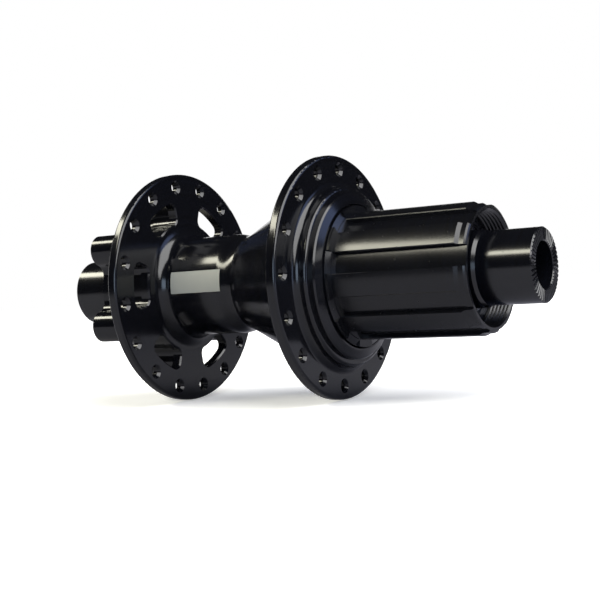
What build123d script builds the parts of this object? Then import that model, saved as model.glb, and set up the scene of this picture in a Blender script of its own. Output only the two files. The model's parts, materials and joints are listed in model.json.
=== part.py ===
"""Rear bicycle hub, 148 mm wide, for a 12 mm through axle.

The hub axis lies along Y: the cassette (drive) side at -Y, the disc side at +Y, +Z up.
The origin is on the axis, midway between the faces of the two end caps.
A station is a distance from the origin along the axis towards the drive side, so y = -station.
An angle is measured about the axis from -X, rising towards +Z, in degrees.
"""
from build123d import *
from math import cos, degrees, hypot, radians, sin
import os

os.makedirs("parts", exist_ok=True)

# Axle and end caps
HALF_WIDTH = 74.0
THRU_BORE_R = 6.05
AXLE_R = 7.5
AXLE_SHOULDER_R = 9.0
AXLE_HALF_LENGTH = 62.0
CAP_R = 9.6
CAP_NOSE_R = 9.2
CAP_SKIRT_R = 10.1
CAP_SKIRT_END = 58.3
DISC_CAP_STEP = 56.0
CAP_EDGE = 0.35
CAP_TEETH = 48
CAP_TOOTH_DEPTH = 0.3
O_RING_R = 0.48
O_RING_GROOVE = 1.0
O_RING_STATION = 58.0

# Hub shell
FLANGE_R = 33.6
FLANGE_EDGE = 0.8
DRIVE_FLANGE = (12.3, 15.35)
DISC_FLANGE = (-40.1, -37.2)
CORE_R = 14.3
WAIST_R = 13.65
CORE_BORE_R = 11.6
CORE_FILLET_R = 4.1
NECK_ROOT_R = 26.6
NECK_R = 24.6
NECK_END = 19.0
MOUTH_R = 23.0
CAVITY_R = 22.0
CAVITY = (9.6, 17.7)

# Spoke holes
SPOKE_CIRCLE_R = 29.8
SPOKE_HOLE_R = 1.3
SPOKE_SINK_R = 2.05
SPOKE_SINK_DEPTH = 0.75
SPOKES_PER_FLANGE = 16
DRIVE_SPOKE_ANGLE = 4.0
DISC_SPOKE_ANGLE = DRIVE_SPOKE_ANGLE + 180 / SPOKES_PER_FLANGE

# Disc rotor mount
ROTOR_FACE = -55.2
ROTOR_STEP = -46.2
ROTOR_CIRCLE_R = 22.0
ROTOR_BOLTS = 6
ROTOR_BOLT_R = 2.1
ROTOR_BOLT_DEPTH = 13.0
ROTOR_BOLT_SINK = 0.4
ROTOR_ANGLE = 33.0
ROTOR_PILOT_R = 17.5
ROTOR_PILOT_END = -55.7
ROTOR_EDGE = 0.3
BOSS_R = 4.5
BOSS_VALLEY_R = 18.6
FOOT_R = 5.3
FOOT_VALLEY_R = 19.0
BOSS_BLEND_R = 3.0
WINDOW_R = (19.3, 25.3)
WINDOW_HALF_ANGLE = 15.5
WINDOW_CORNER_R = 2.0
WINDOW_EDGE = 0.4

# Sealed bearings, 15 x 28 x 7
BEARING_R = 14.0
BEARING_HALF_WIDTH = 3.5
BALL_R = 2.0
BALL_CIRCLE_R = 10.75
BALL_COUNT = 11
BALL_GAP = 0.04
RACE_LAND = 1.36
SEAL_RECESS = (0.45, 0.8)
SEAL_THICKNESS = 0.45
CAGE_HALF_THICKNESS = 0.45
CAGE_HALF_WIDTH = 2.4
BEARING_STATIONS = {
    "disc_side": -50.5,
    "shell": 5.0,
    "freehub_inner": 15.5,
    "freehub_outer": 48.5,
}

# Rings that seal the gaps between the turning parts
DISC_SEAL = (-55.1, -54.1)
DISC_SEAL_R = 9.45
FREEHUB_SEAL_R = 18.25
DUST_COVER_R = 19.75

# Freehub body
SPLINES = 9
RIDGE_R = 17.35
RIDGE_EDGE = 0.2
GROOVE_FLOOR_R = 16.05
GROOVE_WIDTH = 19.0
GROOVE_ANGLE = 13.0
GROOVE_RAMP = (21.4, 22.9)
STOP_R = 19.3
STOP = (20.0, 22.2)
FREEHUB_END = 59.8
RIDGE_END = 56.8
LAND_R = 16.75
CARRIER_R = 17.9
CARRIER_BACK = 10.4
FREEHUB_BORE_R = 12.6
THREAD_MINOR_R = 14.75
THREAD_DEPTH = 0.5
THREAD_PITCH = 1.0
THREAD_TURNS = 5
THREAD_START = 58.8
THREAD_END = 54.0
MOUTH_CHAMFER = 0.5
SNAP_RING = (52.1, 53.0)
SNAP_RING_R = (12.9, 14.5)
SNAP_RING_GAP = 40.0
SNAP_GROOVE_R = 14.55

# Ratchet and pawls
RATCHET_TEETH = 60
RATCHET_TIP_R = 18.9
RATCHET_ROOT_R = 20.1
RATCHET = (10.0, 16.8)
PAWLS = 6
PAWL_ANGLE = 20.0
PAWL_CIRCLE_R = 16.5
PAWL_PIVOT_R = 1.1
PIVOT_GAP = 0.05
PAWL = (11.2, 16.4)
PAWL_TIP = (5.2, 1.0)
PAWL_HEEL = (4.09, -0.8)
PAWL_TIP_LEAD = 15.8
PAWL_SWING = 17.0
POCKET = (11.1, 16.5)
POCKET_LENGTH = 5.6
POCKET_FLOOR = -1.55
POCKET_TOP = 2.2
SPRING = (12.8, 14.8)
SPRING_THICKNESS = 0.15

# Badge plate on the core
BADGE_SIZE = (17.2, 6.2)
BADGE_STATION = -24.5
BADGE_ANGLE = 5.5
BADGE_THICKNESS = 0.2

SECTION = Plane(origin=(0, 0, 0), x_dir=(0, -1, 0), z_dir=(-1, 0, 0))  # x is the station, y the radius


def station(distance):
    """The plane square to the axis at a station, its normal towards the drive side."""
    return Plane.XZ.offset(distance)


def turn(angle):
    """An angle of this object as a turn about a station plane's normal, from its +X."""
    return 180 - angle


def save(piece, name):
    """Label a finished piece and write its STEP."""
    piece.label = name
    export_step(piece, f"parts/{name}.step")


def ring(span, radii):
    """A plain ring between two stations and two radii."""
    with BuildPart() as plain_ring:
        with BuildSketch(station(span[0])):
            Circle(radii[1])
            Circle(radii[0], mode=Mode.SUBTRACT)
        extrude(amount=span[1] - span[0])
    return plain_ring.part


# Axle: a tube with one shoulder between the two bearings of the hub shell
disc_seat = BEARING_STATIONS["disc_side"] + BEARING_HALF_WIDTH
shell_seat = BEARING_STATIONS["shell"] - BEARING_HALF_WIDTH
with BuildPart() as axle:
    with BuildSketch(station(-AXLE_HALF_LENGTH)):
        Circle(AXLE_R)
    extrude(amount=2 * AXLE_HALF_LENGTH)
    chamfer(axle.edges().filter_by(GeomType.CIRCLE), 0.4)
    with BuildSketch(station(disc_seat)):
        Circle(AXLE_SHOULDER_R)
    extrude(amount=shell_seat - disc_seat)
    with BuildSketch(station(-AXLE_HALF_LENGTH)):
        Circle(THRU_BORE_R)
    extrude(amount=2 * AXLE_HALF_LENGTH, mode=Mode.SUBTRACT)
save(axle.part, "axle")


def end_cap(side, nose, outline):
    """An end cap for one side, 1 for drive and -1 for disc, from the outline outside its nose."""
    with BuildPart() as cap:
        with BuildSketch(SECTION):
            with BuildLine():
                section = [(nose, AXLE_R), (nose, CAP_NOSE_R)]
                section += outline
                section += [
                    (HALF_WIDTH - CAP_EDGE, CAP_R),
                    (HALF_WIDTH, CAP_R - CAP_EDGE),
                    (HALF_WIDTH, THRU_BORE_R + CAP_EDGE),
                    (HALF_WIDTH - CAP_EDGE, THRU_BORE_R),
                    (AXLE_HALF_LENGTH, THRU_BORE_R),
                    (AXLE_HALF_LENGTH, AXLE_R),
                ]
                Polyline([(side * s, r) for s, r in section], close=True)
            make_face()
            with Locations((side * O_RING_STATION, AXLE_R + O_RING_GROOVE / 2)):
                Rectangle(O_RING_GROOVE, O_RING_GROOVE, mode=Mode.SUBTRACT)
        revolve(axis=Axis.Y)
        # radial teeth in the end face, which bite into the frame
        with Locations(station(side * HALF_WIDTH)):
            with PolarLocations((CAP_R + THRU_BORE_R) / 2, CAP_TEETH):
                notch = CAP_TOOTH_DEPTH * 2 ** 0.5
                Box(CAP_R, notch, notch, rotation=(45, 0, 0), mode=Mode.SUBTRACT)
    return cap.part


disc_nose = BEARING_HALF_WIDTH - BEARING_STATIONS["disc_side"]
drive_nose = BEARING_HALF_WIDTH + BEARING_STATIONS["freehub_outer"]
plain_outline = [(DISC_CAP_STEP, CAP_NOSE_R), (DISC_CAP_STEP, CAP_R)]
skirt_outline = [
    (drive_nose + 0.9, CAP_NOSE_R),
    (drive_nose + 0.9, CAP_SKIRT_R - 0.4),
    (drive_nose + 1.3, CAP_SKIRT_R),
    (CAP_SKIRT_END, CAP_SKIRT_R),
    (CAP_SKIRT_END + 0.9, CAP_R),
]
save(end_cap(-1, disc_nose, plain_outline), "disc_end_cap")
save(end_cap(1, drive_nose, skirt_outline), "drive_end_cap")

for side, name in ((-1, "disc_o_ring"), (1, "drive_o_ring")):
    with BuildPart() as o_ring:
        with BuildSketch(SECTION):
            with Locations((side * O_RING_STATION, AXLE_R + O_RING_GROOVE / 2)):
                Circle(O_RING_R)
        revolve(axis=Axis.Y)
    save(o_ring.part, name)

shell_spacer_start = BEARING_STATIONS["shell"] + BEARING_HALF_WIDTH
shell_spacer_end = BEARING_STATIONS["freehub_inner"] - BEARING_HALF_WIDTH
save(ring((shell_spacer_start, shell_spacer_end), (AXLE_R, CAP_NOSE_R)), "bearing_spacer")
freehub_inner_end = BEARING_STATIONS["freehub_inner"] + BEARING_HALF_WIDTH
freehub_outer_start = BEARING_STATIONS["freehub_outer"] - BEARING_HALF_WIDTH
save(ring((freehub_inner_end, freehub_outer_start), (AXLE_R, AXLE_SHOULDER_R)), "freehub_spacer")

# Sealed bearings: built about station 0, then copied to each seat
race_land_r = (BALL_CIRCLE_R - RACE_LAND, BALL_CIRCLE_R + RACE_LAND)
seal_r = (race_land_r[0] + 0.06, race_land_r[1] + SEAL_RECESS[0])
seal_middle = BEARING_HALF_WIDTH - SEAL_RECESS[1] + SEAL_THICKNESS / 2

with BuildPart() as inner_race:
    with BuildSketch(SECTION):
        with Locations((0, (AXLE_R + race_land_r[0]) / 2)):
            Rectangle(2 * BEARING_HALF_WIDTH, race_land_r[0] - AXLE_R)
        with Locations((0, BALL_CIRCLE_R)):
            Circle(BALL_R + BALL_GAP, mode=Mode.SUBTRACT)
    revolve(axis=Axis.Y)

with BuildPart() as outer_race:
    with BuildSketch(SECTION):
        with Locations((0, (BEARING_R + race_land_r[1]) / 2)):
            Rectangle(2 * BEARING_HALF_WIDTH, BEARING_R - race_land_r[1])
        with Locations((0, BALL_CIRCLE_R)):
            Circle(BALL_R + BALL_GAP, mode=Mode.SUBTRACT)
        for side in (-1, 1):
            recess_middle = side * (BEARING_HALF_WIDTH - SEAL_RECESS[1] / 2)
            with Locations((recess_middle, (race_land_r[1] + seal_r[1]) / 2)):
                Rectangle(SEAL_RECESS[1], SEAL_RECESS[0], mode=Mode.SUBTRACT)
    revolve(axis=Axis.Y)

with BuildPart() as seals:
    with BuildSketch(SECTION):
        with Locations((-seal_middle, sum(seal_r) / 2), (seal_middle, sum(seal_r) / 2)):
            Rectangle(SEAL_THICKNESS, seal_r[1] - seal_r[0])
    revolve(axis=Axis.Y)

with BuildPart(Plane.XZ) as balls:
    with PolarLocations(BALL_CIRCLE_R, BALL_COUNT):
        Sphere(BALL_R)

with BuildPart() as cage:
    with BuildSketch(SECTION):
        with Locations((0, BALL_CIRCLE_R)):
            Rectangle(2 * CAGE_HALF_WIDTH, 2 * CAGE_HALF_THICKNESS)
    revolve(axis=Axis.Y)
    with Locations(Plane.XZ):
        with PolarLocations(BALL_CIRCLE_R, BALL_COUNT):
            Cylinder(BALL_R + 2 * BALL_GAP, BALL_R, rotation=(0, 90, 0), mode=Mode.SUBTRACT)

bearing_pieces = {
    "inner_race": inner_race.part,
    "outer_race": outer_race.part,
    "seals": seals.part,
    "balls": balls.part,
    "cage": cage.part,
}
for seat, distance in BEARING_STATIONS.items():
    for piece_name, piece in bearing_pieces.items():
        save(piece.moved(Location((0, -distance, 0))), f"{seat}_{piece_name}")


def window(margin):
    """One window of the disc flange, grown all round by a margin."""
    radii = (WINDOW_R[0] - margin, WINDOW_R[1] + margin)
    half_angle = WINDOW_HALF_ANGLE + degrees(2 * margin / sum(radii))
    ends = [(r * cos(radians(half_angle)), r * sin(radians(half_angle))) for r in radii]
    with BuildSketch() as opening:
        with BuildLine():
            for r in radii:
                CenterArc((0, 0), r, -half_angle, 2 * half_angle)
            Line(ends[0], ends[1])
            Line((ends[0][0], -ends[0][1]), (ends[1][0], -ends[1][1]))
        make_face()
        fillet(opening.vertices(), WINDOW_CORNER_R + margin)
    return opening.sketch


# Hub shell: the turned body, then the rotor mount, the windows and the spoke holes
with BuildPart() as hub_shell:
    with BuildSketch(SECTION):
        with BuildLine():
            disc_side = Polyline(
                (disc_seat, CORE_BORE_R),
                (disc_seat, BEARING_R),
                (ROTOR_PILOT_END, BEARING_R),
                (ROTOR_PILOT_END, ROTOR_PILOT_R),
                (DISC_FLANGE[0], ROTOR_PILOT_R),
                (DISC_FLANGE[0], FLANGE_R),
                (DISC_FLANGE[1], FLANGE_R),
                (DISC_FLANGE[1], CORE_R + CORE_FILLET_R),
            )
            core_fillet = JernArc(disc_side @ 1, (0, -1), CORE_FILLET_R, 90)
            core = Line(core_fillet @ 1, (-17.5, CORE_R))
            flare = Spline(
                core @ 1,
                (-13.6, WAIST_R),
                (-9.3, 15.05),
                (-1.5, 19.0),
                (6.5, 23.6),
                (DRIVE_FLANGE[0], 28.4),
                tangents=[(1, 0), (0.55, 1)],
                tangent_scalars=[0.8, 1.0],
            )
            drive_flange = Polyline(
                flare @ 1,
                (DRIVE_FLANGE[0], FLANGE_R),
                (DRIVE_FLANGE[1], FLANGE_R),
                (DRIVE_FLANGE[1], NECK_ROOT_R),
            )
            neck_fillet = JernArc(drive_flange @ 1, (0, -1), NECK_ROOT_R - NECK_R, 90)
            Polyline(
                neck_fillet @ 1,
                (NECK_END, NECK_R),
                (NECK_END, MOUTH_R),
                (CAVITY[1], MOUTH_R),
                (CAVITY[1], CAVITY_R),
                (CAVITY[0], CAVITY_R),
                (CAVITY[0], BEARING_R),
                (shell_seat, BEARING_R),
                (shell_seat, CORE_BORE_R),
                (disc_seat, CORE_BORE_R),
            )
        make_face()
    revolve(axis=Axis.Y)
    circles = hub_shell.edges().filter_by(GeomType.CIRCLE)
    fillet(circles.filter_by(lambda circle: abs(circle.radius - FLANGE_R) < 0.01), FLANGE_EDGE)
    circles = hub_shell.edges().filter_by(GeomType.CIRCLE)
    fillet(circles.filter_by(lambda circle: abs(circle.radius - NECK_R) < 0.01).sort_by(Axis.Y)[0], 0.9)

    # two stacked flower shapes carry the six bosses of the rotor mount
    stages = (
        (DISC_FLANGE[0], ROTOR_STEP, FOOT_VALLEY_R, FOOT_R),
        (ROTOR_STEP, ROTOR_FACE, BOSS_VALLEY_R, BOSS_R),
    )
    for start, end, valley_r, lobe_r in stages:
        with BuildSketch(station(start)):
            Circle(valley_r)
            with PolarLocations(ROTOR_CIRCLE_R, ROTOR_BOLTS, start_angle=turn(ROTOR_ANGLE)):
                Circle(lobe_r)
            fillet(vertices(), BOSS_BLEND_R)
            Circle((BEARING_R + ROTOR_PILOT_R) / 2, mode=Mode.SUBTRACT)
        extrude(amount=end - start)
    levels = hub_shell.faces().filter_by(Axis.Y)
    rotor_face = levels.filter_by(lambda level: abs(level.center().Y + ROTOR_FACE) < 0.01)[0]
    chamfer(rotor_face.outer_wire().edges(), ROTOR_EDGE)

    with BuildSketch(station(ROTOR_FACE)):
        with PolarLocations(ROTOR_CIRCLE_R, ROTOR_BOLTS, start_angle=turn(ROTOR_ANGLE)):
            Circle(ROTOR_BOLT_R)
    extrude(amount=ROTOR_BOLT_DEPTH, mode=Mode.SUBTRACT)
    with BuildSketch(station(ROTOR_FACE)):
        with PolarLocations(ROTOR_CIRCLE_R, ROTOR_BOLTS, start_angle=turn(ROTOR_ANGLE)):
            Circle(ROTOR_BOLT_R + ROTOR_BOLT_SINK)
    extrude(amount=ROTOR_BOLT_SINK, taper=45, mode=Mode.SUBTRACT)

    # windows between the bosses, their visible edges broken
    with BuildSketch(station(DISC_FLANGE[0])):
        with PolarLocations(0, ROTOR_BOLTS, start_angle=turn(ROTOR_ANGLE + 180 / ROTOR_BOLTS)):
            add(window(0))
    extrude(amount=DISC_FLANGE[1] - DISC_FLANGE[0], mode=Mode.SUBTRACT)
    with BuildSketch(station(DISC_FLANGE[1])):
        with PolarLocations(0, ROTOR_BOLTS, start_angle=turn(ROTOR_ANGLE + 180 / ROTOR_BOLTS)):
            add(window(WINDOW_EDGE))
    extrude(amount=-WINDOW_EDGE, taper=45, mode=Mode.SUBTRACT)

    flanges = ((DRIVE_FLANGE, DRIVE_SPOKE_ANGLE), (DISC_FLANGE, DISC_SPOKE_ANGLE))
    for (back, face), angle in flanges:
        with BuildSketch(station(back)):
            with PolarLocations(SPOKE_CIRCLE_R, SPOKES_PER_FLANGE, start_angle=turn(angle)):
                Circle(SPOKE_HOLE_R)
        extrude(amount=face - back, mode=Mode.SUBTRACT)
        for mouth, depth in ((back, SPOKE_SINK_DEPTH), (face, -SPOKE_SINK_DEPTH)):
            with BuildSketch(station(mouth)):
                with PolarLocations(SPOKE_CIRCLE_R, SPOKES_PER_FLANGE, start_angle=turn(angle)):
                    Circle(SPOKE_SINK_R)
            extrude(amount=depth, taper=45, mode=Mode.SUBTRACT)
save(hub_shell.part, "hub_shell")

# Badge plate, bent round the core
badge_direction = (-cos(radians(BADGE_ANGLE)), 0, sin(radians(BADGE_ANGLE)))
badge_start = BADGE_STATION - BADGE_SIZE[0] / 2
with BuildPart() as badge_plate:
    with BuildSketch(station(badge_start)):
        Circle(CORE_R + BADGE_THICKNESS)
        Circle(CORE_R, mode=Mode.SUBTRACT)
    extrude(amount=BADGE_SIZE[0])
    with BuildSketch(Plane(origin=(0, -BADGE_STATION, 0), x_dir=(0, -1, 0), z_dir=badge_direction)):
        Rectangle(*BADGE_SIZE)
    extrude(amount=2 * CORE_R, mode=Mode.INTERSECT)
save(badge_plate.part, "badge_plate")

# Ratchet ring: saw teeth whose steep faces look backwards, so only forward drive locks
tooth_pitch = 360 / RATCHET_TEETH
with BuildPart() as ratchet_ring:
    with BuildSketch(station(RATCHET[0])):
        Circle(CAVITY_R)
        with BuildLine():
            teeth = []
            for index in range(RATCHET_TEETH):
                face_angle = PAWL_ANGLE + PAWL_TIP_LEAD + index * tooth_pitch
                for r, angle in ((RATCHET_TIP_R, face_angle), (RATCHET_ROOT_R, face_angle + tooth_pitch)):
                    teeth.append((-r * cos(radians(angle)), r * sin(radians(angle))))
            Polyline(teeth, close=True)
        make_face(mode=Mode.SUBTRACT)
    extrude(amount=RATCHET[1] - RATCHET[0])
save(ratchet_ring.part, "ratchet_ring")

# Seals and the dust cover in front of them
save(ring(DISC_SEAL, (DISC_SEAL_R, BEARING_R)), "disc_side_seal")
save(ring((RATCHET[1], CAVITY[1]), (FREEHUB_SEAL_R, CAVITY_R)), "freehub_seal")
with BuildPart() as dust_cover:
    with BuildSketch(SECTION):
        with BuildLine():
            Polyline(
                (CAVITY[1], DUST_COVER_R),
                (CAVITY[1], MOUTH_R),
                (NECK_END + 0.05, MOUTH_R),
                (NECK_END + 0.05, 22.7),
                (19.9, 22.7),
                (20.3, 22.3),
                (21.1, 20.2),
                (21.1, DUST_COVER_R),
                close=True,
            )
        make_face()
    revolve(axis=Axis.Y)
save(dust_cover.part, "drive_dust_cover")


def pawl_plane(index, distance):
    """The plane at a station with one pawl's pivot as origin, x along the pawl, y outwards."""
    angle = radians(PAWL_ANGLE + index * 360 / PAWLS)
    pivot = (-PAWL_CIRCLE_R * cos(angle), -distance, PAWL_CIRCLE_R * sin(angle))
    return Plane(origin=pivot, x_dir=(sin(angle), 0, cos(angle)), z_dir=(0, -1, 0))


# Freehub body: turned, then the splines milled and the pawl pockets cut
with BuildPart() as groove:
    with BuildSketch(SECTION):
        with BuildLine():
            Polyline(
                (GROOVE_RAMP[0], STOP_R + 1),
                (GROOVE_RAMP[0], STOP_R),
                (GROOVE_RAMP[1], GROOVE_FLOOR_R),
                (FREEHUB_END + 1, GROOVE_FLOOR_R),
                (FREEHUB_END + 1, STOP_R + 1),
                close=True,
            )
        make_face()
    revolve(axis=Axis.Y, revolution_arc=GROOVE_WIDTH)
section_angle = 90
first_groove = GROOVE_ANGLE - GROOVE_WIDTH / 2 - section_angle
grooves = [groove.part.rotate(Axis.Y, first_groove + index * 360 / SPLINES) for index in range(SPLINES)]

with BuildPart() as freehub_body:
    with BuildSketch(SECTION):
        with BuildLine():
            section = [
                (CARRIER_BACK, BEARING_R),
                (CARRIER_BACK, CARRIER_R),
                (STOP[0], CARRIER_R),
                (STOP[0], STOP_R),
                (STOP[1], STOP_R),
                (STOP[1], RIDGE_R),
                (RIDGE_END, RIDGE_R),
                (RIDGE_END + 1, LAND_R),
                (FREEHUB_END - 0.7, LAND_R),
                (FREEHUB_END - 0.2, LAND_R - 0.25),
                (FREEHUB_END, LAND_R - 0.7),
                (FREEHUB_END, THREAD_MINOR_R + MOUTH_CHAMFER),
                (FREEHUB_END - MOUTH_CHAMFER, THREAD_MINOR_R),
            ]
            for index in range(THREAD_TURNS):
                middle = THREAD_START - index * THREAD_PITCH
                section.append((middle + 0.45, THREAD_MINOR_R))
                section.append((middle, THREAD_MINOR_R + THREAD_DEPTH))
                section.append((middle - 0.45, THREAD_MINOR_R))
            section += [
                (THREAD_END, THREAD_MINOR_R),
                (THREAD_END, BEARING_R),
                (SNAP_RING[1], BEARING_R),
                (SNAP_RING[1], SNAP_GROOVE_R),
                (SNAP_RING[0], SNAP_GROOVE_R),
                (SNAP_RING[0], BEARING_R),
                (freehub_outer_start, BEARING_R),
                (freehub_outer_start, FREEHUB_BORE_R),
                (freehub_inner_end, FREEHUB_BORE_R),
                (freehub_inner_end, BEARING_R),
            ]
            Polyline(section, close=True)
        make_face()
    revolve(axis=Axis.Y)
    add(grooves, mode=Mode.SUBTRACT)
    ridge_edges = freehub_body.edges().filter_by(Axis.Y).filter_by(
        lambda edge: abs(hypot(edge.center().X, edge.center().Z) - RIDGE_R) < 0.01
    )
    chamfer(ridge_edges, RIDGE_EDGE)
    for index in range(PAWLS):
        with BuildSketch(pawl_plane(index, POCKET[0])):
            Circle(PAWL_PIVOT_R + PIVOT_GAP)
            with Locations((0, POCKET_FLOOR)):
                Rectangle(POCKET_LENGTH, POCKET_TOP - POCKET_FLOOR, align=(Align.MIN, Align.MIN))
        extrude(amount=POCKET[1] - POCKET[0], mode=Mode.SUBTRACT)
save(freehub_body.part, "freehub_body")

# Pawls, held in clear of the teeth as when coasting; the back leaves the pivot where the swing ends
shoulder = (PAWL_PIVOT_R * sin(radians(PAWL_SWING)), PAWL_PIVOT_R * cos(radians(PAWL_SWING)))
for index in range(PAWLS):
    with BuildPart() as pawl:
        with BuildSketch(pawl_plane(index, PAWL[0])):
            Circle(PAWL_PIVOT_R)
            with BuildLine():
                Polyline(shoulder, PAWL_TIP, PAWL_HEEL, (0, -PAWL_PIVOT_R), close=True)
            make_face()
        extrude(amount=PAWL[1] - PAWL[0])
    save(pawl.part, f"pawl_{index + 1}")

# Leaf springs: a foot flat on the pocket floor and a blade rising under the pawl
with BuildPart() as pawl_springs:
    for index in range(PAWLS):
        with BuildSketch(pawl_plane(index, SPRING[0])):
            with BuildLine():
                Polyline(
                    (1.3, POCKET_FLOOR),
                    (5.0, POCKET_FLOOR),
                    (5.0, POCKET_FLOOR + SPRING_THICKNESS),
                    (1.75, POCKET_FLOOR + SPRING_THICKNESS),
                    (3.95, POCKET_FLOOR + SPRING_THICKNESS + 0.35),
                    (3.9, POCKET_FLOOR + 2 * SPRING_THICKNESS + 0.35),
                    (1.3, POCKET_FLOOR + SPRING_THICKNESS),
                    close=True,
                )
            make_face()
        extrude(amount=SPRING[1] - SPRING[0])
save(pawl_springs.part, "pawl_springs")

with BuildPart() as snap_ring:
    with BuildSketch(station(SNAP_RING[0])):
        Circle(SNAP_RING_R[1])
        Circle(SNAP_RING_R[0], mode=Mode.SUBTRACT)
        with BuildLine():
            reach = 2 * SNAP_RING_R[1]
            half_gap = radians(SNAP_RING_GAP / 2)
            gap_side = (-reach * cos(half_gap), reach * sin(half_gap))
            Polyline((0, 0), gap_side, (gap_side[0], -gap_side[1]), close=True)
        make_face(mode=Mode.SUBTRACT)
    extrude(amount=SNAP_RING[1] - SNAP_RING[0])
save(snap_ring.part, "snap_ring")
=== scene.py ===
"""Looks of a bicycle rear hub: its finishes, the rotor threads, and a floor, lights and camera to show it."""
import json
import math

import bmesh
import bpy
from mathutils import Matrix, Vector


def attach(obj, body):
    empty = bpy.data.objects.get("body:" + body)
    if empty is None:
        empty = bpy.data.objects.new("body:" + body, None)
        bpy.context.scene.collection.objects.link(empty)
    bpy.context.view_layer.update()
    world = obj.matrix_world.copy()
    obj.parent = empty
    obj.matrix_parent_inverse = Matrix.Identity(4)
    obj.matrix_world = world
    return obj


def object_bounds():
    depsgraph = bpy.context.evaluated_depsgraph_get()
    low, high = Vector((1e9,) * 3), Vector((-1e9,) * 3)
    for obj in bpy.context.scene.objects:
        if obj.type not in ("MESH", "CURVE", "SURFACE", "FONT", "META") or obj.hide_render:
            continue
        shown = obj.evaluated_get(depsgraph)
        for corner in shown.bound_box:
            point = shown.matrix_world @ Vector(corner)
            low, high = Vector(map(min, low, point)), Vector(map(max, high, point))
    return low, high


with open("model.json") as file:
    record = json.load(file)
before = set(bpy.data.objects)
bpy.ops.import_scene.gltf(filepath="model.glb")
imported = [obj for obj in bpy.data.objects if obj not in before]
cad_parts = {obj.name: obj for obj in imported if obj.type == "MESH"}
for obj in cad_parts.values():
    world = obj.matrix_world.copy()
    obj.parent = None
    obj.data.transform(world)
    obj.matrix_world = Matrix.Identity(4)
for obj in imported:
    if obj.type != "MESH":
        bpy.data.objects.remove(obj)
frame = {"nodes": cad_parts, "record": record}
CAD_BOUNDS = [list(corner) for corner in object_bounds()]

bl_info = {
    "name": "Rear Hub Looks",
    "version": (1, 0, 0),
    "blender": (4, 5, 0),
    "location": "3D View > Sidebar > Hub",
    "description": "Finishes, threads and studio for a bicycle rear hub",
    "category": "Object",
}

BEARING_SEATS = ("disc_side", "shell", "freehub_inner", "freehub_outer")
PAWLS = tuple(f"pawl_{number}" for number in range(1, 7))
MM = 0.001
HUB_AXIS = Vector((0, 1, 0))

WHITE = (1, 1, 1)
WARM = (1, 0.97, 0.80)
COOL = (0.62, 0.78, 1)
BLUE = (0.42, 0.55, 1)
PALE_BLUE = (0.5, 0.65, 1)

# Camera: where it stands, in metres, and its turns in degrees
CAMERA_PLACE = (-0.2819, -0.17933, 0)
CAMERA_YAW = 32.2748
CAMERA_PITCH = -0.9651
CAMERA_ROLL = -3.5848


# Settings

class HubFinishSettings(bpy.types.PropertyGroup):
    """Colours and roughness of the hub's finishes."""

    black: bpy.props.FloatVectorProperty(
        name="Black anodising", description="Colour of the dyed oxide on the shell and caps",
        default=(0.0022, 0.0022, 0.0027), subtype="COLOR", min=0, max=1)
    black_sheen: bpy.props.FloatVectorProperty(
        name="Sheen", description="Colour that the black turns towards where the dye is thin",
        default=(0.0032, 0.0036, 0.0060), subtype="COLOR", min=0, max=1)
    steel_black: bpy.props.FloatVectorProperty(
        name="Plated black", description="Colour of the plating on the freehub body",
        default=(0.0028, 0.0028, 0.0030), subtype="COLOR", min=0, max=1)
    badge: bpy.props.FloatVectorProperty(
        name="Badge", description="Colour of the etched badge plate",
        default=(0.34, 0.34, 0.295), subtype="COLOR", min=0, max=1)
    gloss_roughness: bpy.props.FloatProperty(
        name="Gloss roughness", description="Roughness of the polished black surfaces",
        default=0.15, min=0, max=1, subtype="FACTOR")
    satin_roughness: bpy.props.FloatProperty(
        name="Satin roughness", description="Roughness of the plated freehub body",
        default=0.22, min=0, max=1, subtype="FACTOR")
    gloss: bpy.props.FloatProperty(
        name="Gloss", description="Strength of the reflections on the shell and the freehub body",
        default=0.42, min=0, max=1, subtype="FACTOR")
    cap_gloss: bpy.props.FloatProperty(
        name="Cap gloss", description="Strength of the reflections on the axle and the end caps",
        default=0.5, min=0, max=1, subtype="FACTOR")
    tool_pitch: bpy.props.FloatProperty(
        name="Tool pitch", description="Spacing of the marks that the lathe tool leaves",
        default=0.12 * MM, unit="LENGTH", min=0.01 * MM, precision=6)


class HubThreadSettings(bpy.types.PropertyGroup):
    """Size of the threads in the rotor bolt holes."""

    pitch: bpy.props.FloatProperty(
        name="Pitch", description="Distance from one turn to the next",
        default=0.8 * MM, unit="LENGTH", min=0.1 * MM, precision=5)
    height: bpy.props.FloatProperty(
        name="Height", description="How far the thread stands in from the hole's wall",
        default=0.16 * MM, unit="LENGTH", min=0.01 * MM, precision=5)
    turns: bpy.props.IntProperty(
        name="Turns", description="Number of turns in each hole", default=11, min=1)
    first_angle: bpy.props.FloatProperty(
        name="First hole", description="Angle of the first bolt hole about the hub axis",
        default=math.radians(33), subtype="ANGLE")
    inset: bpy.props.FloatProperty(
        name="Inset", description="How far below the hole's mouth the thread starts",
        default=1.2 * MM, unit="LENGTH", min=0, precision=5)
    root_overlap: bpy.props.FloatProperty(
        name="Root overlap", description="How far the thread's root sits inside the wall",
        default=0.02 * MM, unit="LENGTH", min=0, precision=6)
    steps_per_turn: bpy.props.IntProperty(
        name="Steps", description="Number of straight steps in one turn", default=20, min=8)


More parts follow.
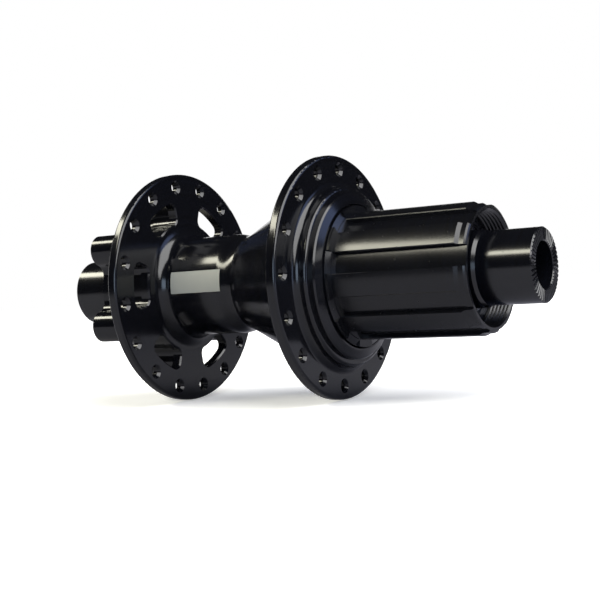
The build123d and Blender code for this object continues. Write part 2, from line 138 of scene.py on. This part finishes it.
class HubStageSettings(bpy.types.PropertyGroup):
    """Floor, lights and camera."""

    floor_size: bpy.props.FloatProperty(
        name="Floor", description="Radius of the floor", default=3.0, unit="LENGTH", min=0.2)
    floor_gap: bpy.props.FloatProperty(
        name="Floor gap", description="Clear height between the lowest rim and the floor",
        default=0.3 * MM, unit="LENGTH", min=0)
    light_distance: bpy.props.FloatProperty(
        name="Light distance", description="Distance of the lights from the hub",
        default=0.9, unit="LENGTH", min=0.2)
    # Fade start, Fade end and Shadow lift shape the floor's painted glow, which is seen only by the camera.
    fade_start: bpy.props.FloatProperty(
        name="Fade start", description="Distance from the hub where the floor starts to fade",
        default=0.06, unit="LENGTH", min=0)
    fade_end: bpy.props.FloatProperty(
        name="Fade end", description="Distance from the hub where the floor is as white as the backdrop",
        default=0.30, unit="LENGTH", min=0)
    shadow_lift: bpy.props.FloatProperty(
        name="Shadow lift", description="Glow of the floor next to the hub, which softens its shadow",
        default=0.35, min=0, max=1, subtype="FACTOR")
    room_strength: bpy.props.FloatProperty(
        name="Room", description="Strength of the room around the hub in reflections", default=0.015, min=0)
    backdrop_strength: bpy.props.FloatProperty(
        name="Backdrop", description="Strength of the backdrop that the camera sees", default=1.0, min=0)
    focal_length: bpy.props.FloatProperty(
        name="Focal length", description="Lens of the camera", default=71.06, unit="CAMERA", min=10)


# Shared shader effects

def new_group(name, inputs, outputs):
    """An empty shader node group with float inputs {name: default} and outputs {name: socket type}."""
    group = bpy.data.node_groups.new(name, "ShaderNodeTree")
    for socket_name, default in inputs.items():
        socket = group.interface.new_socket(socket_name, in_out="INPUT", socket_type="NodeSocketFloat")
        socket.default_value = default
    for socket_name, socket_type in outputs.items():
        group.interface.new_socket(socket_name, in_out="OUTPUT", socket_type=socket_type)
    return group


def math_node(tree, operation, first, second=0.0):
    """A Math node whose operands are sockets or numbers; returns its output."""
    node = tree.nodes.new("ShaderNodeMath")
    node.operation = operation
    for socket, value in zip(node.inputs, (first, second)):
        if isinstance(value, (int, float)):
            socket.default_value = value
        else:
            tree.links.new(value, socket)
    return node.outputs[0]


def turning_marks_group():
    """Fine rings about the hub axis, as a lathe tool leaves them on walls and on faces."""
    group = new_group(
        "turning_marks", {"Rings per metre": 8000.0, "Unevenness": 0.5},
        {"Height": "NodeSocketFloat", "Mask": "NodeSocketFloat"})
    source = group.nodes.new("NodeGroupInput")
    sink = group.nodes.new("NodeGroupOutput")
    place = group.nodes.new("ShaderNodeTexCoord")
    split = group.nodes.new("ShaderNodeSeparateXYZ")
    group.links.new(place.outputs["Object"], split.inputs[0])
    square_x = math_node(group, "MULTIPLY", split.outputs["X"], split.outputs["X"])
    square_z = math_node(group, "MULTIPLY", split.outputs["Z"], split.outputs["Z"])
    radius = math_node(group, "SQRT", math_node(group, "ADD", square_x, square_z))
    travel = math_node(group, "ADD", radius, split.outputs["Y"])
    ring = math_node(group, "MULTIPLY", travel, source.outputs["Rings per metre"])
    fine = group.nodes.new("ShaderNodeTexNoise")
    fine.noise_dimensions = "1D"
    fine.inputs["Scale"].default_value = 1.0
    fine.inputs["Detail"].default_value = 3.0
    group.links.new(ring, fine.inputs["W"])
    broad = group.nodes.new("ShaderNodeTexNoise")
    broad.noise_dimensions = "1D"
    broad.inputs["Scale"].default_value = 0.09
    broad.inputs["Detail"].default_value = 2.0
    group.links.new(ring, broad.inputs["W"])
    uneven = math_node(group, "MULTIPLY", broad.outputs[0], source.outputs["Unevenness"])
    group.links.new(math_node(group, "ADD", fine.outputs[0], uneven), sink.inputs["Height"])
    group.links.new(broad.outputs[0], sink.inputs["Mask"])
    return group


def handling_marks_group():
    """Faint smears and hairline scratches from handling."""
    group = new_group(
        "handling_marks", {"Smear frequency": 60.0, "Scratch frequency": 900.0},
        {"Smear": "NodeSocketFloat", "Scratch": "NodeSocketFloat"})
    scratch_threshold = 0.72
    source = group.nodes.new("NodeGroupInput")
    sink = group.nodes.new("NodeGroupOutput")
    place = group.nodes.new("ShaderNodeTexCoord")
    smear = group.nodes.new("ShaderNodeTexNoise")
    smear.inputs["Detail"].default_value = 5.0
    smear.inputs["Distortion"].default_value = 0.8
    scratch = group.nodes.new("ShaderNodeTexNoise")
    scratch.inputs["Detail"].default_value = 2.0
    stretch = group.nodes.new("ShaderNodeMapping")
    stretch.inputs["Rotation"].default_value = (0.5, 0.3, 0.9)
    stretch.inputs["Scale"].default_value = (0.04, 1.0, 1.0)
    group.links.new(place.outputs["Object"], stretch.inputs["Vector"])
    group.links.new(stretch.outputs["Vector"], scratch.inputs["Vector"])
    group.links.new(place.outputs["Object"], smear.inputs["Vector"])
    group.links.new(source.outputs["Smear frequency"], smear.inputs["Scale"])
    group.links.new(source.outputs["Scratch frequency"], scratch.inputs["Scale"])
    group.links.new(smear.outputs[0], sink.inputs["Smear"])
    line = math_node(group, "GREATER_THAN", scratch.outputs[0], scratch_threshold)
    group.links.new(line, sink.inputs["Scratch"])
    return group


def grain_group():
    """A fine even grain, as blasting, moulding or etching leaves."""
    group = new_group("grain", {"Size": 6000.0}, {"Height": "NodeSocketFloat", "Mask": "NodeSocketFloat"})
    source = group.nodes.new("NodeGroupInput")
    sink = group.nodes.new("NodeGroupOutput")
    place = group.nodes.new("ShaderNodeTexCoord")
    grain = group.nodes.new("ShaderNodeTexNoise")
    grain.inputs["Detail"].default_value = 4.0
    cloud = group.nodes.new("ShaderNodeTexNoise")
    cloud.inputs["Scale"].default_value = 120.0
    group.links.new(source.outputs["Size"], grain.inputs["Scale"])
    group.links.new(place.outputs["Object"], grain.inputs["Vector"])
    group.links.new(place.outputs["Object"], cloud.inputs["Vector"])
    group.links.new(grain.outputs[0], sink.inputs["Height"])
    group.links.new(cloud.outputs[0], sink.inputs["Mask"])
    return group


def shared_group(name):
    """The named effect group, built the first time it is asked for."""
    makers = {
        "turning_marks": turning_marks_group,
        "handling_marks": handling_marks_group,
        "grain": grain_group,
    }
    return bpy.data.node_groups.get(name) or makers[name]()


# Materials

def start_material(name, **constants):
    """A Principled material with its constant sockets set; returns the material, its tree and its shader."""
    material = bpy.data.materials.new(name)
    material.use_nodes = True
    tree = material.node_tree
    shader = tree.nodes["Principled BSDF"]
    for socket_name, value in constants.items():
        shader.inputs[socket_name.replace("_", " ")].default_value = value
    return material, tree, shader


def place_group(tree, name, **values):
    """One of the shared effects in a material, with its own values."""
    node = tree.nodes.new("ShaderNodeGroup")
    node.node_tree = shared_group(name)
    for socket_name, value in values.items():
        node.inputs[socket_name.replace("_", " ")].default_value = value
    return node


def colour_between(tree, shader, mask, low, high):
    """Base colour that moves between two colours with a mask."""
    mix = tree.nodes.new("ShaderNodeMix")
    mix.data_type = "RGBA"
    mix.inputs["A"].default_value = (*low, 1)
    mix.inputs["B"].default_value = (*high, 1)
    tree.links.new(mask, mix.inputs["Factor"])
    tree.links.new(mix.outputs["Result"], shader.inputs["Base Color"])


def value_between(tree, mask, low, high):
    """A number that moves between two values with a mask."""
    spread = tree.nodes.new("ShaderNodeMapRange")
    spread.inputs["To Min"].default_value = low
    spread.inputs["To Max"].default_value = high
    tree.links.new(mask, spread.inputs["Value"])
    return spread.outputs[0]


def add_bump(tree, shader, height, depth):
    """Relief of a given depth in metres."""
    bump = tree.nodes.new("ShaderNodeBump")
    bump.inputs["Strength"].default_value = 1.0
    bump.inputs["Distance"].default_value = depth
    tree.links.new(height, bump.inputs["Height"])
    tree.links.new(bump.outputs["Normal"], shader.inputs["Normal"])


def turned_black(name, low, high, roughness, mark_depth, specular):
    """Dyed oxide or black plating over a turned surface."""
    finish = bpy.context.scene.hub_finish
    material, tree, shader = start_material(name, Specular_IOR_Level=specular, IOR=1.55)
    marks = place_group(tree, "turning_marks", Rings_per_metre=1 / finish.tool_pitch)
    handling = place_group(tree, "handling_marks")
    colour_between(tree, shader, marks.outputs["Mask"], low, high)
    smear = value_between(tree, handling.outputs["Smear"], roughness - 0.04, roughness + 0.05)
    dull = math_node(tree, "MULTIPLY", handling.outputs["Scratch"], 0.07)
    tree.links.new(math_node(tree, "ADD", smear, dull), shader.inputs["Roughness"])
    add_bump(tree, shader, marks.outputs["Height"], mark_depth)
    return material


def turned_metal(name, low, high, roughness, mark_depth):
    """Bare turned or ground metal."""
    finish = bpy.context.scene.hub_finish
    material, tree, shader = start_material(name, Metallic=1.0)
    marks = place_group(tree, "turning_marks", Rings_per_metre=1 / finish.tool_pitch)
    handling = place_group(tree, "handling_marks")
    colour_between(tree, shader, handling.outputs["Smear"], low, high)
    uneven = value_between(tree, marks.outputs["Mask"], roughness - 0.05, roughness + 0.08)
    tree.links.new(uneven, shader.inputs["Roughness"])
    add_bump(tree, shader, marks.outputs["Height"], mark_depth)
    return material


def grained(name, low, high, roughness, depth, size, **constants):
    """Moulded, blasted or etched surface with a fine grain."""
    material, tree, shader = start_material(name, **constants)
    grain = place_group(tree, "grain", Size=size)
    colour_between(tree, shader, grain.outputs["Mask"], low, high)
    uneven = value_between(tree, grain.outputs["Height"], roughness - 0.06, roughness + 0.06)
    tree.links.new(uneven, shader.inputs["Roughness"])
    add_bump(tree, shader, grain.outputs["Height"], depth)
    return material


def finish_nodes(material, *names):
    """Gives CAD nodes a finish."""
    for name in names:
        slots = frame["nodes"][name].material_slots
        for slot in slots:
            slot.link = "OBJECT"
            slot.material = material


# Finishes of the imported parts

class HUB_OT_finish_shell(bpy.types.Operator):
    """Black anodising on the hub shell and its dust cover"""
    bl_idname = "hub.finish_shell"
    bl_label = "Finish Shell"

    def execute(self, context):
        finish = context.scene.hub_finish
        shell_black = turned_black(
            "anodised_black", finish.black, finish.black_sheen, finish.gloss_roughness,
            mark_depth=0.0004 * MM, specular=finish.gloss)
        finish_nodes(shell_black, "hub_shell", "drive_dust_cover")
        return {"FINISHED"}


class HUB_OT_finish_freehub(bpy.types.Operator):
    """Black plating on the splined freehub body"""
    bl_idname = "hub.finish_freehub"
    bl_label = "Finish Freehub"

    def execute(self, context):
        finish = context.scene.hub_finish
        plated = turned_black(
            "plated_black", finish.steel_black, finish.black_sheen, finish.satin_roughness,
            mark_depth=0.0006 * MM, specular=finish.gloss)
        finish_nodes(plated, "freehub_body")
        return {"FINISHED"}


class HUB_OT_finish_axle(bpy.types.Operator):
    """Black anodising on the axle and the end caps, bare metal on the spacers"""
    bl_idname = "hub.finish_axle"
    bl_label = "Finish Axle"

    def execute(self, context):
        finish = context.scene.hub_finish
        cap_black = turned_black(
            "cap_black", finish.black, finish.black_sheen, finish.gloss_roughness + 0.02,
            mark_depth=0.0006 * MM, specular=finish.cap_gloss)
        finish_nodes(cap_black, "axle", "drive_end_cap", "disc_end_cap")
        bare = turned_metal("bare_aluminium", (0.55, 0.55, 0.57), (0.66, 0.66, 0.67), 0.3, 0.002 * MM)
        finish_nodes(bare, "bearing_spacer", "freehub_spacer")
        return {"FINISHED"}


class HUB_OT_finish_badge(bpy.types.Operator):
    """Etched metal on the badge plate"""
    bl_idname = "hub.finish_badge"
    bl_label = "Finish Badge"

    def execute(self, context):
        base = context.scene.hub_finish.badge
        darker = tuple(channel * 0.86 for channel in base)
        lighter = tuple(channel * 1.12 for channel in base)
        etched = grained("etched_plate", darker, lighter, 0.5, 0.004 * MM, 9000.0)
        finish_nodes(etched, "badge_plate")
        return {"FINISHED"}


class HUB_OT_finish_bearings(bpy.types.Operator):
    """Ground races, polished balls, nylon cages and rubber seals"""
    bl_idname = "hub.finish_bearings"
    bl_label = "Finish Bearings"

    def execute(self, context):
        race = turned_metal("ground_race", (0.48, 0.48, 0.50), (0.60, 0.60, 0.61), 0.18, 0.0008 * MM)
        ball = turned_metal("polished_ball", (0.76, 0.76, 0.78), (0.84, 0.84, 0.85), 0.07, 0.0001 * MM)
        nylon = grained(
            "moulded_nylon", (0.60, 0.56, 0.46), (0.70, 0.66, 0.56), 0.42, 0.004 * MM, 5000.0,
            Subsurface_Weight=0.15)
        rubber = grained(
            "seal_rubber", (0.012, 0.012, 0.012), (0.022, 0.022, 0.023), 0.55, 0.006 * MM, 7000.0)
        for seat in BEARING_SEATS:
            finish_nodes(race, f"{seat}_inner_race", f"{seat}_outer_race")
            finish_nodes(ball, f"{seat}_balls")
            finish_nodes(nylon, f"{seat}_cage")
            finish_nodes(rubber, f"{seat}_seals")
        finish_nodes(rubber, "freehub_seal", "disc_side_seal", "drive_o_ring", "disc_o_ring")
        return {"FINISHED"}


class HUB_OT_finish_ratchet(bpy.types.Operator):
    """Hardened steel on the ratchet and pawls, blued steel on the springs and snap ring"""
    bl_idname = "hub.finish_ratchet"
    bl_label = "Finish Ratchet"

    def execute(self, context):
        hardened = turned_metal("hardened_steel", (0.26, 0.25, 0.24), (0.40, 0.39, 0.38), 0.28, 0.001 * MM)
        blued = turned_metal("blued_steel", (0.10, 0.12, 0.17), (0.20, 0.20, 0.22), 0.24, 0.0006 * MM)
        finish_nodes(hardened, "ratchet_ring", *PAWLS)
        finish_nodes(blued, "pawl_springs", "snap_ring")
        return {"FINISHED"}


# Made pieces

class HUB_OT_add_rotor_threads(bpy.types.Operator):
    """Helical threads in the six rotor bolt holes"""
    bl_idname = "hub.add_rotor_threads"
    bl_label = "Add Rotor Threads"

    def execute(self, context):
        thread = context.scene.hub_thread
        mount = next(m for m in frame["record"]["mounts"] if m["name"] == "rotor_bolts")
        circle_radius = mount["dims"]["pcd_mm"] / 2 * MM
        hole_radius = mount["dims"]["hole_r_mm"] * MM
        count = mount["dims"]["count"]
        half_width = 0.3 * thread.pitch
        steps = thread.steps_per_turn * thread.turns
        bm = bmesh.new()
        for number in range(count):
            angle = thread.first_angle + number * math.tau / count
            centre = Vector((-circle_radius * math.cos(angle), mount["pos_m"][1] - thread.inset,
                             circle_radius * math.sin(angle)))
            wall = centre + Vector((hole_radius + thread.root_overlap, 0, 0))
            corners = [
                bm.verts.new(wall + Vector((0, half_width, 0))),
                bm.verts.new(wall - Vector((thread.height + thread.root_overlap, 0, 0))),
                bm.verts.new(wall - Vector((0, half_width, 0))),
            ]
            profile = bm.faces.new(corners)
            bmesh.ops.spin(
                bm, geom=[profile, *profile.edges, *corners], cent=centre, axis=HUB_AXIS,
                dvec=-HUB_AXIS * thread.pitch / thread.steps_per_turn, angle=math.tau * thread.turns,
                steps=steps)
        bmesh.ops.recalc_face_normals(bm, faces=bm.faces)
        mesh = bpy.data.meshes.new("rotor_threads")
        bm.to_mesh(mesh)
        bm.free()
        piece = bpy.data.objects.new("rotor_threads", mesh)
        context.scene.collection.objects.link(piece)
        mesh.materials.append(bpy.data.materials["anodised_black"])
        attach(piece, "shell_body")
        return {"FINISHED"}


# Stage

def aim(lamp, place):
    """Puts a light at a place, facing the middle of the hub."""
    lamp.location = place
    lamp.rotation_euler = (-place).to_track_quat("-Z", "Y").to_euler()


def add_light(name, direction, distance, width, height, power, colour):
    """A soft box that faces the hub."""
    lamp = bpy.data.lights.new(name, "AREA")
    lamp.shape = "RECTANGLE"
    lamp.size = width
    lamp.size_y = height
    lamp.energy = power
    lamp.color = colour
    box = bpy.data.objects.new(name, lamp)
    box.visible_camera = False
    bpy.context.scene.collection.objects.link(box)
    aim(box, Vector(direction).normalized() * distance)


class HUB_OT_add_stage(bpy.types.Operator):
    """Pale floor, soft lights and the camera"""
    bl_idname = "hub.add_stage"
    bl_label = "Add Stage"

    def add_floor(self, context):
        stage = context.scene.hub_stage
        bm = bmesh.new()
        bmesh.ops.create_circle(bm, cap_ends=True, segments=96, radius=stage.floor_size)
        bmesh.ops.translate(bm, verts=bm.verts, vec=(0, 0, CAD_BOUNDS[0][2] - stage.floor_gap))
        mesh = bpy.data.meshes.new("floor")
        bm.to_mesh(mesh)
        bm.free()
        floor = bpy.data.objects.new("floor", mesh)
        context.scene.collection.objects.link(floor)
        mesh.materials.append(self.floor_paint(stage))

    def floor_paint(self, stage):
        """Pale matt paint with a painted glow seen only by the camera, which lifts the hub's shadow and fades
        the floor into the backdrop away from the hub, and with a darker copy of its colour in reflections,
        which paints shade into the hub's reflections of the floor.
        """
        paint, tree, shader = start_material("pale_floor", Roughness=0.9, Specular_IOR_Level=0.1)
        path = tree.nodes.new("ShaderNodeLightPath")
        # Painted shade: the camera sees the pale colour, while reflections on the hub see a darker, bluer
        # copy of the same floor.
        shaded_copy_in_reflections = (0.34, 0.34, 0.39)
        to_camera = (0.90, 0.90, 0.90)
        colour_between(tree, shader, path.outputs["Is Camera Ray"], shaded_copy_in_reflections, to_camera)
        # Painted glow seen only by the camera: weak next to the hub, where it lifts the hub's shadow, and
        # full away from it, where it whitens the floor into the backdrop.
        place = tree.nodes.new("ShaderNodeTexCoord")
        reach = tree.nodes.new("ShaderNodeVectorMath")
        reach.operation = "LENGTH"
        tree.links.new(place.outputs["Object"], reach.inputs[0])
        fade = tree.nodes.new("ShaderNodeMapRange")
        fade.inputs["From Min"].default_value = stage.fade_start
        fade.inputs["From Max"].default_value = stage.fade_end
        fade.inputs["To Min"].default_value = stage.shadow_lift
        tree.links.new(reach.outputs["Value"], fade.inputs["Value"])
        glow = math_node(tree, "MULTIPLY", fade.outputs[0], path.outputs["Is Camera Ray"])
        tree.links.new(glow, shader.inputs["Emission Strength"])
        shader.inputs["Emission Color"].default_value = (1, 1, 1, 1)
        return paint

    def add_lights(self, context):
        distance = context.scene.hub_stage.light_distance
        add_light("fill_box", (-0.15, -0.7, 0.7), distance * 1.5, 1.4, 1.4, 34, WHITE)
        add_light("key_strip", (-0.47, 0.537, 0.70), distance, 0.9, 0.15, 6.5, WARM)
        add_light("edge_panel", (0.844, 0.537, 0), distance, 2.0, 0.5, 4, WHITE)
        add_light("front_fill", (-0.9, -0.35, 0.15), distance, 0.5, 0.3, 1.8, COOL)
        add_light("runout_sheen", (0.457, -0.768, 0.459), distance, 0.35, 0.35, 0.7, BLUE)
        add_light("serration_sheen", (-0.05, -1, 0), distance, 0.3, 0.3, 0.5, PALE_BLUE)

    def add_world(self, context):
        world = bpy.data.worlds.new("studio")
        context.scene.world = world
        world.use_nodes = True
        tree = world.node_tree
        sky = tree.nodes["Background"]
        path = tree.nodes.new("ShaderNodeLightPath")
        mix = tree.nodes.new("ShaderNodeMix")
        mix.inputs["A"].default_value = context.scene.hub_stage.room_strength
        mix.inputs["B"].default_value = context.scene.hub_stage.backdrop_strength
        tree.links.new(path.outputs["Is Camera Ray"], mix.inputs["Factor"])
        tree.links.new(mix.outputs["Result"], sky.inputs["Strength"])
        sky.inputs["Color"].default_value = (1, 1, 1, 1)

    def add_camera(self, context):
        lens = bpy.data.cameras.new("camera")
        lens.lens = context.scene.hub_stage.focal_length
        lens.sensor_width = 36
        lens.clip_start = 0.01
        camera = bpy.data.objects.new("camera", lens)
        context.scene.collection.objects.link(camera)
        yaw, pitch, roll = (math.radians(turn) for turn in (CAMERA_YAW, CAMERA_PITCH, CAMERA_ROLL))
        forward = Vector((math.cos(pitch) * math.cos(yaw), math.cos(pitch) * math.sin(yaw), math.sin(pitch)))
        right = forward.cross(Vector((0, 0, 1))).normalized()
        up = right.cross(forward)
        rolled_right = right * math.cos(roll) + up * math.sin(roll)
        rolled_up = up * math.cos(roll) - right * math.sin(roll)
        axes = Matrix((rolled_right, rolled_up, -forward)).transposed().to_4x4()
        camera.matrix_world = Matrix.Translation(CAMERA_PLACE) @ axes
        context.scene.camera = camera

    def execute(self, context):
        self.add_floor(context)
        self.add_lights(context)
        self.add_world(context)
        self.add_camera(context)
        context.scene.view_settings.view_transform = "Standard"
        return {"FINISHED"}


OPERATORS = (
    HUB_OT_finish_shell,
    HUB_OT_finish_freehub,
    HUB_OT_finish_axle,
    HUB_OT_finish_badge,
    HUB_OT_finish_bearings,
    HUB_OT_finish_ratchet,
    HUB_OT_add_rotor_threads,
    HUB_OT_add_stage,
)


class HUB_PT_panel(bpy.types.Panel):
    """Lists the hub's finishes, pieces and stage"""
    bl_label = "Rear Hub"
    bl_space_type = "VIEW_3D"
    bl_region_type = "UI"
    bl_category = "Hub"

    def draw(self, context):
        layout = self.layout
        for group in (context.scene.hub_finish, context.scene.hub_thread, context.scene.hub_stage):
            box = layout.box()
            for name in group.bl_rna.properties.keys():
                if name not in ("rna_type", "name"):
                    box.prop(group, name)
        for operator in OPERATORS:
            layout.operator(operator.bl_idname)


SETTINGS = {"hub_finish": HubFinishSettings, "hub_thread": HubThreadSettings, "hub_stage": HubStageSettings}
CLASSES = (*SETTINGS.values(), *OPERATORS, HUB_PT_panel)


def register():
    for cls in CLASSES:
        bpy.utils.register_class(cls)
    for name, group in SETTINGS.items():
        setattr(bpy.types.Scene, name, bpy.props.PointerProperty(type=group))


def unregister():
    for name in SETTINGS:
        delattr(bpy.types.Scene, name)
    for cls in reversed(CLASSES):
        bpy.utils.unregister_class(cls)


def main():
    register()
    bpy.ops.hub.finish_shell()
    bpy.ops.hub.finish_freehub()
    bpy.ops.hub.finish_axle()
    bpy.ops.hub.finish_badge()
    bpy.ops.hub.finish_bearings()
    bpy.ops.hub.finish_ratchet()
    bpy.ops.hub.add_rotor_threads()
    bpy.ops.hub.add_stage()


if __name__ == "__main__":
    main()
